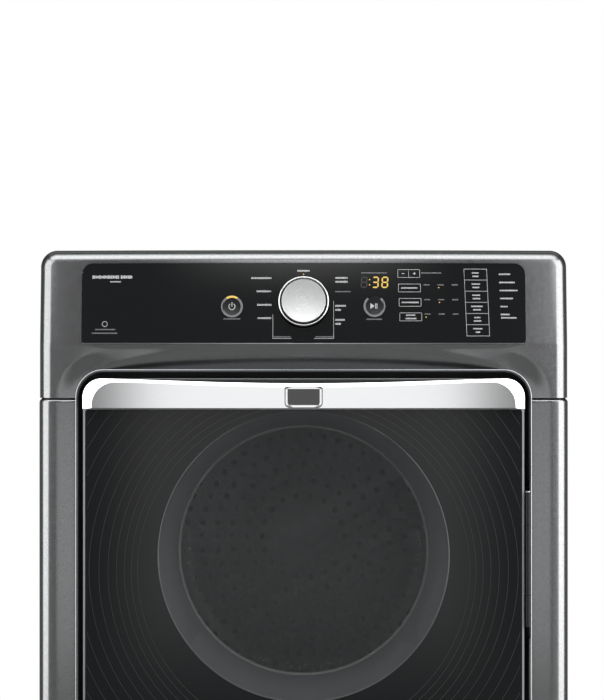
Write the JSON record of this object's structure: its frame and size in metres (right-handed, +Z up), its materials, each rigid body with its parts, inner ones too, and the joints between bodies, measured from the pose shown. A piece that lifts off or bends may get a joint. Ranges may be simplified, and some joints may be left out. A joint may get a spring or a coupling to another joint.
{
  "type": "clothes dryer",
  "caption": "Full-size front-load clothes dryer with a bowed granite-grey front, gloss black control panel, central dial, chrome grip and smoked round-window door.",
  "frame": {"origin": "middle of the machine's plan, on the floor", "axes": "+X to the right of someone facing the machine, -Y out of its front, +Z up"},
  "size_m": [0.686, 0.8, 0.965],
  "materials": {
    "granite_paint": "metallic, satin gloss",
    "gloss_black": "high gloss",
    "black_plastic": "satin",
    "chrome": "bright satin plating",
    "spun_aluminium": "spun, fine concentric grain",
    "smoked_lens": "smoked, high gloss",
    "clear_glass": "clear tempered",
    "galvanised_steel": "galvanised sheet",
    "stainless_steel": "brushed stainless",
    "white_plastic": "satin",
    "grey_plastic": "satin",
    "rubber": "matt",
    "felt": "pressed felt",
    "board_green": "solder-masked board"
  },
  "bodies": {
    "cabinet": {"base_pan": "galvanised_steel", "cabinet_wrap": "granite_paint", "rear_access_cover": "galvanised_steel", "top_panel": "granite_paint", "front_panel": "granite_paint", "console_fascia": "granite_paint", "control_overlay": "gloss_black", "control_board": "board_green", "door_surround": "black_plastic", "front_bulkhead": "galvanised_steel", "rear_bulkhead": "galvanised_steel", "front_drum_seal": "felt", "heater_housing": "galvanised_steel", "heating_element": "stainless_steel", "motor_body": "galvanised_steel", "blower_housing": "black_plastic", "exhaust_pipe": "galvanised_steel", "water_valve": "white_plastic", "terminal_block": "black_plastic", "door_catch": "white_plastic", "drum_belt": "rubber", "hinge_bracket": "stainless_steel", "hinge_pin": "stainless_steel", "knob_ring": "chrome"},
    "door": {"door_frame": "grey_plastic", "door_lens": "smoked_lens", "door_handle": "chrome", "door_inner_panel": "white_plastic", "door_glass": "clear_glass", "door_gasket": "rubber", "door_strike": "stainless_steel", "hinge_arm": "stainless_steel"},
    "drum": {"drum_shell": "stainless_steel", "drum_baffle_1": "grey_plastic", "drum_baffle_2": "grey_plastic", "drum_baffle_3": "grey_plastic"},
    "motor_rotor": {"drive_pulley": "galvanised_steel", "blower_wheel": "white_plastic"},
    "idler_lever": {"idler_arm": "galvanised_steel"},
    "idler_wheel": {"idler_pulley": "white_plastic"},
    "roller_left": {"drum_roller_left": "grey_plastic"},
    "roller_right": {"drum_roller_right": "grey_plastic"},
    "filter": {"lint_filter": "grey_plastic"},
    "knob": {"knob_cap": "spun_aluminium"},
    "power_key": {"power_key": "gloss_black"},
    "start_key": {"start_key": "gloss_black"},
    "time_rocker": {"time_rocker": "gloss_black"},
    "temperature_key": {"temperature_key": "gloss_black"},
    "dryness_key": {"dryness_key": "gloss_black"},
    "wrinkle_key": {"wrinkle_key": "gloss_black"},
    "option_key_1": {"option_key_1": "gloss_black"},
    "option_key_2": {"option_key_2": "gloss_black"},
    "option_key_3": {"option_key_3": "gloss_black"},
    "option_key_4": {"option_key_4": "gloss_black"},
    "option_key_5": {"option_key_5": "gloss_black"},
    "option_key_6": {"option_key_6": "gloss_black"},
    "foot_front_left": {"foot_front_left": "black_plastic"},
    "foot_rear_left": {"foot_rear_left": "black_plastic"},
    "foot_front_right": {"foot_front_right": "black_plastic"},
    "foot_rear_right": {"foot_rear_right": "black_plastic"}
  },
  "joints": [
    {"name": "door_swing", "type": "hinge", "parent": "cabinet", "child": "door", "pos_m": [0.2898, -0.362, 0.564], "axis": [0, 0, 1], "range_deg": [0, 110]},
    {"name": "drum_spin", "type": "hinge", "parent": "cabinet", "child": "drum", "pos_m": [0, 0, 0.564], "axis": [0, 1, 0], "continuous": true},
    {"name": "motor_spin", "type": "hinge", "parent": "cabinet", "child": "motor_rotor", "pos_m": [0.06, 0, 0.135], "axis": [0, 1, 0], "continuous": true},
    {"name": "idler_swing", "type": "hinge", "parent": "cabinet", "child": "idler_lever", "pos_m": [0.175, -0.037, 0.055], "axis": [0, 1, 0], "range_deg": [0, 12], "stiffness_Nm_per_rad": 1.2, "springref_deg": -20.05},
    {"name": "idler_spin", "type": "hinge", "parent": "idler_lever", "child": "idler_wheel", "pos_m": [0.1345, -0.018, 0.17319], "axis": [0, 1, 0], "continuous": true},
    {"name": "roller_left_spin", "type": "hinge", "parent": "cabinet", "child": "roller_left", "pos_m": [-0.2233, 0.28, 0.298], "axis": [0, 1, 0], "continuous": true},
    {"name": "roller_right_spin", "type": "hinge", "parent": "cabinet", "child": "roller_right", "pos_m": [0.2233, 0.28, 0.298], "axis": [0, 1, 0], "continuous": true},
    {"name": "lint_filter_slide", "type": "slide", "parent": "cabinet", "child": "filter", "axis": [0, 0, 1], "range_m": [0, 0.15]},
    {"name": "knob_turn", "type": "hinge", "parent": "cabinet", "child": "knob", "pos_m": [0, -0.37072, 0.8969], "axis": [0, -0.9806, 0.1961], "continuous": true},
    {"name": "power_key_press", "type": "slide", "parent": "cabinet", "child": "power_key", "axis": [0, 0.9806, -0.1961], "range_m": [0, 0.0008], "stiffness_N_per_m": 600},
    {"name": "start_key_press", "type": "slide", "parent": "cabinet", "child": "start_key", "axis": [0, 0.9806, -0.1961], "range_m": [0, 0.0008], "stiffness_N_per_m": 600},
    {"name": "time_rocker_tilt", "type": "hinge", "parent": "cabinet", "child": "time_rocker", "pos_m": [0.1359, -0.35448, 0.93362], "axis": [0, 0.1961, 0.9806], "range_deg": [-2, 2], "stiffness_Nm_per_rad": 0.3},
    {"name": "temperature_key_press", "type": "slide", "parent": "cabinet", "child": "temperature_key", "axis": [0, 0.9806, -0.1961], "range_m": [0, 0.0008], "stiffness_N_per_m": 600},
    {"name": "dryness_key_press", "type": "slide", "parent": "cabinet", "child": "dryness_key", "axis": [0, 0.9806, -0.1961], "range_m": [0, 0.0008], "stiffness_N_per_m": 600},
    {"name": "wrinkle_key_press", "type": "slide", "parent": "cabinet", "child": "wrinkle_key", "axis": [0, 0.9806, -0.1961], "range_m": [0, 0.0008], "stiffness_N_per_m": 600},
    {"name": "option_key_1_press", "type": "slide", "parent": "cabinet", "child": "option_key_1", "axis": [0, 0.9806, -0.1961], "range_m": [0, 0.0008], "stiffness_N_per_m": 600},
    {"name": "option_key_2_press", "type": "slide", "parent": "cabinet", "child": "option_key_2", "axis": [0, 0.9806, -0.1961], "range_m": [0, 0.0008], "stiffness_N_per_m": 600},
    {"name": "option_key_3_press", "type": "slide", "parent": "cabinet", "child": "option_key_3", "axis": [0, 0.9806, -0.1961], "range_m": [0, 0.0008], "stiffness_N_per_m": 600},
    {"name": "option_key_4_press", "type": "slide", "parent": "cabinet", "child": "option_key_4", "axis": [0, 0.9806, -0.1961], "range_m": [0, 0.0008], "stiffness_N_per_m": 600},
    {"name": "option_key_5_press", "type": "slide", "parent": "cabinet", "child": "option_key_5", "axis": [0, 0.9806, -0.1961], "range_m": [0, 0.0008], "stiffness_N_per_m": 600},
    {"name": "option_key_6_press", "type": "slide", "parent": "cabinet", "child": "option_key_6", "axis": [0, 0.9806, -0.1961], "range_m": [0, 0.0008], "stiffness_N_per_m": 600},
    {"name": "foot_front_left_level", "type": "slide", "parent": "cabinet", "child": "foot_front_left", "axis": [0, 0, 1], "range_m": [-0.012, 0.01]},
    {"name": "foot_rear_left_level", "type": "slide", "parent": "cabinet", "child": "foot_rear_left", "axis": [0, 0, 1], "range_m": [-0.012, 0.01]},
    {"name": "foot_front_right_level", "type": "slide", "parent": "cabinet", "child": "foot_front_right", "axis": [0, 0, 1], "range_m": [-0.012, 0.01]},
    {"name": "foot_rear_right_level", "type": "slide", "parent": "cabinet", "child": "foot_rear_right", "axis": [0, 0, 1], "range_m": [-0.012, 0.01]}
  ],
  "couplings": [
    {"joint": "motor_spin", "follows": "drum_spin", "ratio": 22.664},
    {"joint": "idler_spin", "follows": "drum_spin", "ratio": -13.856},
    {"joint": "roller_left_spin", "follows": "drum_spin", "ratio": -9.8438},
    {"joint": "roller_right_spin", "follows": "drum_spin", "ratio": -9.8438}
  ]
}
